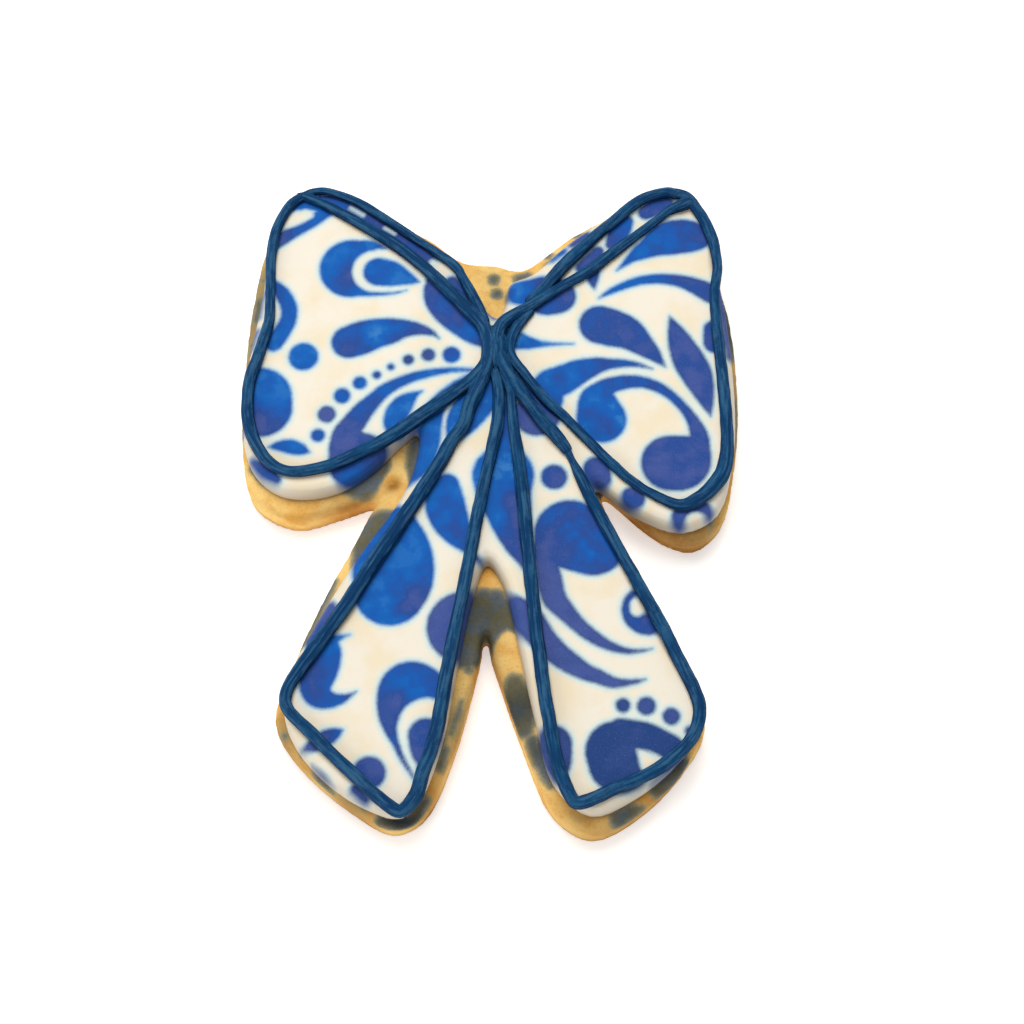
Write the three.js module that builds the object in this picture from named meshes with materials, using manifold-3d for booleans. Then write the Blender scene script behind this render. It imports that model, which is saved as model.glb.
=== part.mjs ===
// An iced sugar cookie cut as a ribbon bow with two tails: a biscuit, one flooded layer of
// white icing, and a network of blue icing lines piped along the edges of the bow.
// Millimetres, +Z up. The origin is under the middle of the cookie, on the surface it lies on,
// and +Y points from the tails to the loops.
import * as THREE from 'three';
import { mergeVertices } from 'three/addons/utils/BufferGeometryUtils.js';
import Module from 'manifold-3d';

// Heights
const BISCUIT_THICK = 6.0;
const ICING_THICK = 3.0;
const ICING_TOP = BISCUIT_THICK + ICING_THICK;

// Rounded edges: how far each reaches in from the outline, how far down, and how much of the
// same curve is left at the foot
const BISCUIT_EDGE = { across: 1.2, down: 1.9, foot: 0.6 };
const ICING_EDGE = { across: 1.5, down: 2.1, foot: 0.35 };
const EDGE_STEPS = 3;
const OUTLINE_STEPS = 4; // between two points of an outline

// Piped lines
const LOOP_LINE_WIDTH = 1.8;
const TAIL_LINE_WIDTH = 2.05;
const LINE_SINK = 0.3; // share of its radius that a line sinks into the icing
const LINE_GAP = 0.15; // left between the icing and the lines that lie on it
const LINE_SIDES = 8;
const LINE_STEP = 2.8;
const KNOT = new THREE.Vector2(0.6, 22.6);
const KNOT_REACH = 3.2;
const KNOT_RISE = 0.9; // the lines pile up this much where they cross

// The outlines and lines below run through [x, y] points.

// The baked edge, anticlockwise from the dip between the two loops
const BISCUIT_OUTLINE = [
  // left loop
  [0.8, 38.7], [-4.4, 39.4], [-9.4, 43.1], [-18.5, 48.2], [-25.8, 50.3], [-31.4, 48.0], [-34.6, 42.3],
  [-36.6, 32.0], [-37.4, 20.0], [-37.1, 7.0], [-35.3, 0.0], [-29.0, -3.4], [-22.0, -1.6], [-17.0, -0.1],
  // left tail
  [-18.7, -4.2], [-24.6, -16.2], [-28.6, -26.4], [-30.6, -34.0], [-27.4, -39.6], [-20.1, -45.9],
  [-13.6, -49.5], [-9.2, -47.5], [-5.1, -38.7], [-1.5, -25.0],
  // right tail, from the top of the gap between the tails
  [-0.6, -21.3], [0.6, -25.0], [5.2, -38.3], [9.2, -47.1], [14.6, -50.3], [21.4, -47.1], [27.3, -41.3],
  [31.0, -34.5], [26.8, -23.5], [20.4, -10.0],
  // right loop
  [16.6, 1.7], [25.4, -5.4], [30.4, -6.8], [34.5, -3.4], [36.6, 5.0], [37.6, 16.0], [36.9, 28.5],
  [35.5, 35.5], [35.0, 41.5], [32.9, 47.7], [27.8, 50.3], [21.5, 48.5], [13.0, 44.0], [7.7, 39.8],
  [4.8, 37.9],
];

// The edge of the flooded icing, anticlockwise from the foot of the V between the loops
const ICING_OUTLINE = [
  // left loop
  [1.0, 28.5], [-2.0, 32.0], [-4.3, 36.8], [-8.6, 40.5], [-14.5, 44.8], [-20.7, 48.3], [-26.4, 49.9],
  [-31.6, 47.8], [-34.3, 42.4], [-34.7, 34.0], [-35.6, 27.4], [-36.6, 20.0], [-36.7, 8.0], [-34.7, 2.9],
  [-31.3, 0.1], [-27.3, -0.6], [-22.4, 0.4], [-17.9, 3.1], [-13.0, 8.0],
  // left tail, from the crease under the loop
  [-10.7, 9.8], [-11.3, 4.0], [-13.8, -1.8], [-18.8, -9.2], [-24.7, -19.5], [-28.6, -28.0],
  [-29.1, -33.4], [-27.3, -38.2], [-22.5, -43.5], [-17.0, -47.0], [-12.4, -48.2], [-9.6, -45.8],
  [-6.4, -37.1], [-4.6, -27.3], [-2.2, -15.5],
  // right tail, from the top of the gap between the tails
  [-0.3, -10.8], [2.0, -14.1], [4.2, -23.3], [6.6, -34.4], [9.1, -43.5], [14.3, -47.9], [20.1, -45.8],
  [26.6, -40.6], [30.5, -35.0], [29.9, -30.2], [25.9, -23.1], [21.0, -13.0],
  // right loop
  [15.4, 1.0], [20.9, -3.0], [28.3, -5.8], [33.7, -3.0], [36.2, 5.7], [36.8, 13.0], [36.2, 26.5],
  [35.0, 36.0], [34.5, 42.6], [32.6, 47.6], [28.2, 49.9], [23.6, 48.9], [17.5, 45.3], [11.4, 40.7],
  [6.5, 35.9], [2.9, 34.2], [2.4, 31.5],
];

// Each line of piping as the nozzle laid it, with its width and its share of the knot's rise
const PIPED_LINES = {
  leftLoop: {
    width: LOOP_LINE_WIDTH,
    rise: 0.6,
    points: [
      [0.0, 25.4], [-1.7, 29.8], [-3.5, 33.2], [-5.3, 35.9], [-10.0, 39.4], [-15.1, 43.7], [-21.1, 47.3],
      [-26.4, 48.8], [-30.4, 47.0], [-32.5, 44.2], [-33.5, 40.0], [-33.5, 33.0], [-33.5, 26.0],
      [-35.3, 19.7], [-36.0, 14.1], [-34.9, 8.0], [-31.8, 3.6], [-27.2, 2.5], [-20.8, 4.4], [-12.4, 9.2],
      [-5.9, 14.7], [-2.5, 17.9], [-0.7, 21.4],
    ],
  },
  leftFold: {
    width: TAIL_LINE_WIDTH,
    rise: 0.9,
    points: [
      [-29.0, 47.7], [-22.5, 44.5], [-12.7, 38.2], [-8.0, 33.6], [-3.4, 28.3], [-0.6, 24.6], [-0.4, 21.6],
    ],
  },
  rightEdge: {
    width: TAIL_LINE_WIDTH,
    rise: 0.3,
    points: [[7.2, 31.0], [9.4, 33.8], [13.9, 38.9], [18.6, 43.4], [24.2, 47.6], [29.0, 48.6]],
  },
  rightFold: {
    width: LOOP_LINE_WIDTH,
    rise: 1.0,
    points: [
      [31.2, 46.7], [27.6, 45.3], [22.0, 40.9], [16.0, 35.9], [11.4, 32.7], [6.8, 30.2], [2.4, 26.9],
      [1.0, 24.2], [1.2, 21.6],
    ],
  },
  rightLoop: {
    width: LOOP_LINE_WIDTH,
    rise: 0.3,
    points: [
      [28.6, 48.9], [31.5, 46.8], [33.6, 42.2], [34.5, 36.5], [34.1, 29.5], [34.6, 21.5], [35.2, 12.5],
      [34.6, 5.0], [32.3, 0.2], [28.3, -2.5], [23.4, -0.5], [18.1, 4.0], [12.6, 10.3], [8.2, 14.9],
      [2.8, 20.4],
    ],
  },
  knotSide: {
    width: LOOP_LINE_WIDTH,
    rise: 0.6,
    points: [[6.4, 29.0], [4.4, 26.6], [3.2, 23.8], [2.4, 20.6]],
  },
  leftTail: {
    width: TAIL_LINE_WIDTH,
    rise: 0.4,
    points: [
      [0.0, 21.6], [-1.5, 17.2], [-3.2, 14.0], [-4.2, 10.6], [-7.5, 4.1], [-15.4, -8.7], [-23.2, -20.8],
      [-26.7, -26.6], [-28.4, -30.0], [-27.9, -32.9], [-23.2, -38.3], [-17.6, -44.2], [-13.0, -47.6],
      [-10.7, -46.4], [-8.9, -40.5], [-6.9, -32.2], [-5.1, -22.7], [-3.2, -10.5], [-0.8, 2.3],
      [0.9, 11.4], [1.2, 15.6], [0.6, 19.4],
    ],
  },
  rightTail: {
    width: TAIL_LINE_WIDTH,
    rise: 0.4,
    points: [
      [1.0, 18.8], [2.7, 15.2], [3.5, 9.5], [4.4, 3.0], [5.4, -6.7], [6.2, -15.4], [7.3, -27.2],
      [8.8, -37.5], [10.7, -44.6], [13.2, -46.7], [18.6, -44.8], [25.6, -40.7], [29.2, -36.2],
      [29.4, -31.4], [25.0, -22.7], [20.1, -12.6], [14.4, -0.4], [12.4, 4.2],
    ],
  },
  rightTailStart: {
    width: TAIL_LINE_WIDTH,
    rise: 1.0,
    points: [[0.2, 23.0], [3.0, 18.4], [7.2, 12.7], [9.6, 9.0], [11.6, 5.5]],
  },
};

const COLOURS = { biscuit: 0xd9a955, icing: 0xf6efe3, piping: 0x1f4f80 };

const wasm = await Module();
wasm.setup();

// A closed three.js geometry as a solid that can be joined and cut.
function solidOf(geometry) {
  const bare = geometry.clone().deleteAttribute('normal').deleteAttribute('uv');
  const merged = mergeVertices(bare, 1e-4);
  return new wasm.Manifold(new wasm.Mesh({
    numProp: 3,
    vertProperties: merged.attributes.position.array,
    triVerts: new Uint32Array(merged.index.array),
  }));
}

// A solid as a three.js geometry with flat facets.
function geometryOf(solid) {
  const { vertProperties, triVerts } = solid.getMesh();
  const geometry = new THREE.BufferGeometry();
  geometry.setAttribute('position', new THREE.BufferAttribute(vertProperties, 3));
  geometry.setIndex(new THREE.BufferAttribute(triVerts, 1));
  const faceted = geometry.toNonIndexed();
  faceted.computeVertexNormals();
  return faceted;
}

function boxBelow(height) {
  const side = 300;
  const box = new THREE.BoxGeometry(side, side, side);
  box.translate(0, 0, height - side / 2);
  return solidOf(box);
}

// The smooth closed outline through the points.
function outlineShape(points) {
  const corners = points.map(([x, y]) => new THREE.Vector3(x, y, 0));
  const curve = new THREE.CatmullRomCurve3(corners, true, 'centripetal');
  const samples = curve.getPoints(points.length * OUTLINE_STEPS).slice(0, -1);
  return new THREE.Shape(samples.map((p) => new THREE.Vector2(p.x, p.y)));
}

// A flat-bottomed slab with a rounded upper edge, grown evenly by `grow` on its top and sides.
function roundedSlab(outline, bottom, top, edge, grow = 0) {
  const wall = top - bottom - edge.down - edge.foot;
  const slab = new THREE.ExtrudeGeometry(outlineShape(outline), {
    depth: wall,
    bevelEnabled: true,
    bevelThickness: edge.down,
    bevelSize: edge.across,
    bevelOffset: grow - edge.across,
    bevelSegments: EDGE_STEPS,
  });
  slab.translate(0, 0, top + grow - edge.down - wall);
  return solidOf(slab).subtract(boxBelow(bottom));
}

// One line of piping with a ball at each end. It climbs where it reaches the knot.
function pipedLine({ width, rise, points }) {
  const radius = width / 2;
  const rest = ICING_TOP + radius * (1 - LINE_SINK);
  const path = points.map(([x, y]) => {
    const away = KNOT.distanceTo(new THREE.Vector2(x, y)) / KNOT_REACH;
    return new THREE.Vector3(x, y, rest + KNOT_RISE * rise * Math.exp(-away * away));
  });
  const curve = new THREE.CatmullRomCurve3(path, false, 'centripetal');
  const section = [...Array(LINE_SIDES).keys()].map((side) => {
    const turn = (2 * Math.PI * (side + 0.5)) / LINE_SIDES;
    return new THREE.Vector2(radius * Math.cos(turn), radius * Math.sin(turn));
  });
  const tube = new THREE.ExtrudeGeometry(new THREE.Shape(section), {
    extrudePath: curve,
    steps: Math.ceil(curve.getLength() / LINE_STEP),
    bevelEnabled: false,
  });
  return [path[0], path[path.length - 1]].reduce((line, end) => {
    const ball = new THREE.SphereGeometry(radius, LINE_SIDES, LINE_SIDES / 2);
    ball.translate(end.x, end.y, end.z);
    return line.add(solidOf(ball));
  }, solidOf(tube));
}

function piping() {
  const network = Object.values(PIPED_LINES).map(pipedLine).reduce((all, line) => all.add(line));
  return network.subtract(roundedSlab(ICING_OUTLINE, BISCUIT_THICK, ICING_TOP, ICING_EDGE, LINE_GAP));
}

function named(name, solid, roughness) {
  const material = new THREE.MeshStandardMaterial({ color: COLOURS[name], roughness, metalness: 0 });
  const mesh = new THREE.Mesh(geometryOf(solid), material);
  mesh.name = name;
  return mesh;
}

const cookie = new THREE.Group();
cookie.name = 'iced_bow_cookie';
cookie.add(
  named('biscuit', roundedSlab(BISCUIT_OUTLINE, 0, BISCUIT_THICK, BISCUIT_EDGE), 0.85),
  named('icing', roundedSlab(ICING_OUTLINE, BISCUIT_THICK, ICING_TOP, ICING_EDGE), 0.45),
  named('piping', piping(), 0.5),
);

export default cookie;
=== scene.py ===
"""An iced sugar cookie cut as a ribbon bow with two tails: a golden biscuit, a flooded layer of
white icing with blue scrolls sprayed through a stencil, and blue lines piped along its edges.

Lengths below are in millimetres, in the cookie's own frame: +Z up, +Y from the tails to the loops."""
import math

import bmesh
import bpy
import numpy as np
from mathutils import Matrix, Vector, noise


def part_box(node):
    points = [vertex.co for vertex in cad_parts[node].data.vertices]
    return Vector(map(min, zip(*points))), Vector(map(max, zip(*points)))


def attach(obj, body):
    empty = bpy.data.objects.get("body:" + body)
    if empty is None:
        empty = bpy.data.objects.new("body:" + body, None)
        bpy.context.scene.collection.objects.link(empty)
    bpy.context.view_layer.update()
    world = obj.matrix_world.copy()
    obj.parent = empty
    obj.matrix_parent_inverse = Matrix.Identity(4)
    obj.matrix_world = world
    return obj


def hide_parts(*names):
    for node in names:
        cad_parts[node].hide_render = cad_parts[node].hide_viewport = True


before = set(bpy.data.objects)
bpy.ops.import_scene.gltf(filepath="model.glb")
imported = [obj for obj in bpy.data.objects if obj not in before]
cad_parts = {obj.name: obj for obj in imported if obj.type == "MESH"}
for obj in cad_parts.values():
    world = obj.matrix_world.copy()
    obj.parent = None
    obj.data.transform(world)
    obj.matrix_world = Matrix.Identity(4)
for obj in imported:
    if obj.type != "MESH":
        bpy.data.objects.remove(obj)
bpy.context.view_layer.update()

MM = 0.001
BISCUIT_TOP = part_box("biscuit")[1].z / MM
ICING_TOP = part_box("icing")[1].z / MM

# The biscuit and the icing are even fine meshes of their solids, smoothed out and then back, so that
# they don't shrink
SMOOTH_OUT = 0.5
SMOOTH_BACK = -0.53
SEED_SHIFT = (17.3, 5.9, 11.1)  # keeps waves with different seeds apart

# Baked dough
BISCUIT_GRAIN = 0.39        # spacing of the modelled surface
BISCUIT_SMOOTHING = 10
GAP_END = (-0.5, -22.6)     # top of the narrow gap between the tails
GAP_REACH = 1.4
GAP_DEEPENED = 0.95         # the even mesh closes the end of the gap by this much
# Waves in the baked edge, crumb and pores: height, length and seed
EDGE_UNEVENNESS = (0.16, 7.0, 2)
CRUMB = (0.08, 1.2, 3)
FINE_CRUMB = (0.045, 0.5, 4)
PORE = (0.16, 0.9, 5)
PORE_START = 0.45           # share of a wave's height from which it sinks into a pore
PORE_SLOPE = 0.3
BASE_HEIGHT = 0.6           # what faces down below this height is the flat base
FACES_DOWN = -0.5           # upright part of the direction that the surface faces
LIES_LEVEL = 0.8            # the same, up or down
FOOT_EVEN = 1.2             # the crumb of the sides evens out below this height
FOOT_CRUMB = 0.15           # share of it left at the floor
FOOT_BROWNING = 0.75        # at the bottom edge
FOOT_BROWN_HEIGHT = 2.5
FOOT_BROWN_CURVE = 1.5
MOST_BROWNING_AND_SHADE = 0.9
SPRAY_DEEPEST = -1.0
SPRAY_FULL = 4.8            # height on the side below which the spray thins out
SPRAY_FADE = 0.6            # how fast it does
MOST_DENSE = 0.9
MIST_LOWEST = 1.0
MOST_MIST = 0.8

# Flooded icing
ICING_GRAIN = 0.3
ICING_SMOOTHING = 12
ICING_SINK = 0.15           # how deep the icing's foot sits in the crumb
ICING_SWELL = (0.05, 11.0, 1)   # height, length and seed
UNDERSIDE = -0.7            # what faces down more than this is hidden on the biscuit
# The wall share also sets how far down the rounded edge the painted shade of the wall reaches
WALL_CURVE = 0.58           # how early the rounded edge counts as wall

# Piped lines
LINE_SINK = 0.3             # share of its radius that a line sinks into the icing
LINE_STEP = 0.4
TOP_SIDES = 38              # faces across the part of a line's round that shows
FOOT_SIDES = 6
TOP_ARC = math.radians(236)
END_LEAST = 0.02            # how near its end a line still narrows, as a share of its radius
LINE_APART = 3.1            # keeps the waves of one line apart from those of the next
OFF_GRID = 0.5              # where the waves aren't flat
# Thick and thin stretches, as shares of the radius, and the wander sideways: height, length and seed
LINE_SWELL = (0.035, 4.0, 0)
LINE_THROB = (0.03, 1.2, 20)
LINE_WANDER = (0.05, 2.2, 40)
# Ridges: height as a share of the radius, width and length
RIDGES = ((0.07, 0.38, 5.0), (0.06, 0.2, 2.4), (0.03, 0.5, 0.8))
RIDGE_SEED = 60
RIDGES_APART = 4.7
# The colour follows the ridges as painted light on their crests and painted shade between them
RIDGE_SHADE = 10            # how strongly the colour follows the ridges
GROOVE = (0.09, 0.16)       # depth as a share of the radius, half width as an angle
GROOVE_FADE = 3             # length over which a groove deepens from its ends
GROOVE_WANDER = (0.15, 9.0, 80)
KNOT = (0.6, 22.6)
KNOT_REACH = 3.2
KNOT_RISE = 0.9

# Features of the finishes, by their size, and the depths of their relief
EDGE_DRIFT = 0.9
EDGE_FRAY = 0.22
SOFT_EDGE = (0.4, -0.42)    # from outside the stencil's edge, where the blue starts, to where it is full
HALO_REACH = (0.95, 0.05)
CREAM_CLOUDS = 5.5
CREAM_FLECKS = 0.3
BLUE_POOLS = 2.6
BLUE_FLECKS = 1.3
BLUE_GRAIN = 0.16
BLUE_SPECKS = 0.13
BLUE_RIM = (-0.6, 0.1)
ICING_SHEEN = 1.1
ICING_TEXTURE = 0.25
ICING_RELIEF = 0.012
DOUGH_BLOTCHES = 5.0
DOUGH_CRUMB = 0.6
DOUGH_FINE = 0.22
DOUGH_FRECKLES = 0.45
DOUGH_RELIEF = 0.1
SPRAY_FRAY = 1.6
SPRAY_SHADES = 3.0
SOFT_OVERSPRAY = (0.8, -1.1)
LINE_DRIFT = 4.0
LINE_FINE = 0.3
LINE_DUST = 0.11
LINE_RELIEF = 0.07

# Studio; a light is its place, its size and its watts
BACKDROP_STRENGTH = 0.33
KEY_LIGHT = ((-60, 260, 600), 420, 2.85)
FILL_LIGHT = ((-460, -380, 300), 350, 1.0)
LIGHTS_AIM = (0, 0, 5)
FLOOR_REACH = 8000
FLOOR_DROP = 0.2
FLOOR_CLOUDS = 60
FLOOR_ROUGHNESS = 0.9
FLOOR_GLOW = 0.48
CAMERA_TARGET = (3.3, -2.3, 6.0)
CAMERA_RISE = math.radians(70)
CAMERA_DISTANCE = 300
CAMERA_LENS = 71.3
CAMERA_SENSOR = 36
CAMERA_NEAREST = 10

# The lines of piping as the nozzle laid them: share of the knot's rise, and the points they run
# through, each with the width of the line there
PIPED_LINES = {
    "left_edge": (0.3, [
        (-0.6, 26.3, 1.7), (-2.5, 31.0, 1.7), (-4.4, 34.8, 1.5), (-5.1, 36.1, 1.5), (-10.1, 40.1, 1.3),
        (-17.9, 45.7, 1.4), (-20.2, 47.3, 1.3), (-24.1, 49.0, 1.2), (-26.1, 49.4, 1.2), (-28.0, 49.0, 1.2),
        (-30.4, 47.4, 1.2), (-31.3, 46.5, 1.1)]),
    "left_loop": (0.2, [
        (-27.1, 49.1, 1.1), (-28.2, 48.9, 1.2), (-30.9, 47.0, 1.5), (-32.9, 42.6, 1.6), (-33.5, 38.3, 1.6),
        (-33.5, 34.1, 1.5), (-33.4, 27.7, 1.6), (-33.7, 25.7, 1.7), (-34.9, 21.1, 1.8), (-36.0, 16.6, 1.8),
        (-35.6, 9.7, 1.9), (-32.8, 4.5, 1.8), (-30.1, 2.9, 1.6), (-27.0, 2.9, 1.7), (-22.9, 3.9, 1.9),
        (-18.8, 5.9, 2.0), (-16.8, 6.9, 2.1), (-13.3, 9.2, 2.2), (-9.6, 12.0, 2.2), (-6.7, 14.2, 2.1),
        (-2.2, 18.0, 1.9), (-0.8, 20.0, 1.8), (-0.2, 21.8, 1.6)]),
    "left_fold_and_tail": (0.55, [
        (-30.2, 48.3, 1.2), (-28.9, 48.4, 1.3), (-18.2, 42.4, 1.8), (-11.9, 37.8, 1.8), (-4.2, 29.9, 2.1),
        (-0.9, 25.8, 2.1), (-0.2, 22.1, 2.1), (-0.9, 18.3, 2.1), (-3.0, 13.3, 2.2), (-3.9, 10.1, 2.0),
        (-5.9, 7.1, 2.1), (-7.1, 4.5, 2.1), (-11.6, -3.1, 2.2), (-15.0, -8.6, 2.2), (-16.6, -11.1, 2.2),
        (-20.7, -18.2, 2.1), (-26.2, -26.4, 2.0), (-28.6, -30.6, 1.8), (-28.6, -32.7, 1.8),
        (-24.9, -36.7, 1.8), (-15.9, -45.2, 1.9), (-12.9, -47.6, 1.9), (-12.0, -47.7, 1.9),
        (-10.1, -45.7, 2.1), (-9.1, -42.0, 2.0), (-8.5, -40.5, 2.0), (-7.3, -36.3, 2.0), (-6.5, -31.4, 2.0),
        (-4.5, -19.4, 1.9), (-3.7, -15.5, 1.9), (-1.9, -4.9, 1.9), (-0.5, 2.2, 1.8), (1.1, 10.5, 1.9),
        (1.3, 15.2, 1.8), (0.6, 19.4, 1.3)]),
    "right_edge": (0.3, [
        (5.4, 30.2, 1.4), (7.9, 32.3, 1.7), (11.0, 36.2, 2.0), (16.8, 42.1, 1.7), (18.8, 43.9, 1.7),
        (20.8, 45.8, 1.7), (23.1, 47.7, 1.7), (24.7, 48.4, 1.7), (27.8, 49.0, 1.7), (29.4, 48.4, 1.5)]),
    "right_fold_and_tail": (0.8, [
        (31.4, 47.2, 1.9), (30.6, 47.3, 2.0), (29.3, 46.7, 1.9), (27.7, 46.0, 1.5), (26.1, 44.7, 1.3),
        (18.7, 38.6, 1.7), (14.8, 35.4, 1.7), (11.0, 33.0, 1.5), (9.1, 31.7, 1.6), (7.2, 30.4, 1.6),
        (5.3, 29.1, 1.8), (3.7, 28.1, 2.0), (2.2, 26.9, 2.1), (1.3, 25.3, 2.1), (1.3, 21.8, 2.0),
        (6.9, 12.0, 2.1), (9.9, 8.3, 2.0), (11.8, 5.6, 1.6)]),
    "right_loop": (0.35, [
        (6.5, 29.2, 1.2), (3.5, 25.2, 1.7), (3.0, 21.8, 1.6), (5.3, 18.3, 1.5), (8.2, 14.4, 1.6),
        (11.4, 11.2, 1.5), (16.0, 6.1, 1.5), (19.0, 3.0, 1.5), (20.5, 1.6, 1.4), (23.5, -0.5, 1.4),
        (27.9, -2.5, 1.7), (30.6, -1.6, 2.1), (33.5, 1.2, 2.3), (34.4, 2.8, 2.3), (35.1, 6.7, 2.0),
        (34.9, 16.6, 1.8), (34.6, 20.7, 1.8), (34.1, 31.7, 1.6), (34.7, 36.6, 1.5), (34.2, 40.4, 1.7),
        (33.5, 42.6, 1.8), (32.6, 44.8, 1.7), (30.4, 48.1, 1.8), (28.9, 48.9, 1.6), (27.2, 49.1, 1.4)]),
    "right_tail": (0.1, [
        (1.5, 19.1, 1.2), (3.0, 15.6, 1.4), (3.4, 11.0, 1.6), (4.3, 4.5, 1.9), (5.5, -8.0, 2.0),
        (6.3, -17.1, 1.9), (8.0, -31.5, 2.0), (8.4, -33.9, 2.0), (9.7, -41.2, 2.0), (11.5, -45.8, 1.9),
        (12.3, -46.6, 1.9), (18.2, -44.3, 1.8), (20.6, -43.3, 1.8), (24.1, -41.5, 1.9), (28.1, -38.0, 1.9),
        (29.5, -35.1, 1.9), (29.6, -32.0, 1.9), (27.5, -26.9, 1.9), (26.6, -25.1, 1.9), (25.8, -23.1, 1.9),
        (21.4, -14.4, 1.8), (15.1, -2.0, 1.8), (13.1, 2.5, 1.6), (12.3, 4.3, 1.1), (11.4, 6.2, 1.2)]),
    "knot": (-0.4, [
        (0.6, 26.5, 1.3), (0.7, 25.4, 2.2), (1.0, 23.8, 3.1), (1.2, 22.2, 3.4), (1.1, 20.8, 2.7),
        (1.0, 19.2, 1.4)]),
}

# Deep lengthwise grooves: the line, where along it they start and end, and their angle from its top
GROOVES = [
    ("left_fold_and_tail", 10, 42, 0.1), ("right_loop", 47, 62, 0.35), ("right_tail", 12, 62, 0.45),
    ("left_fold_and_tail", 60, 112, -0.35), ("left_fold_and_tail", 66, 104, 0.3),
]

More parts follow.
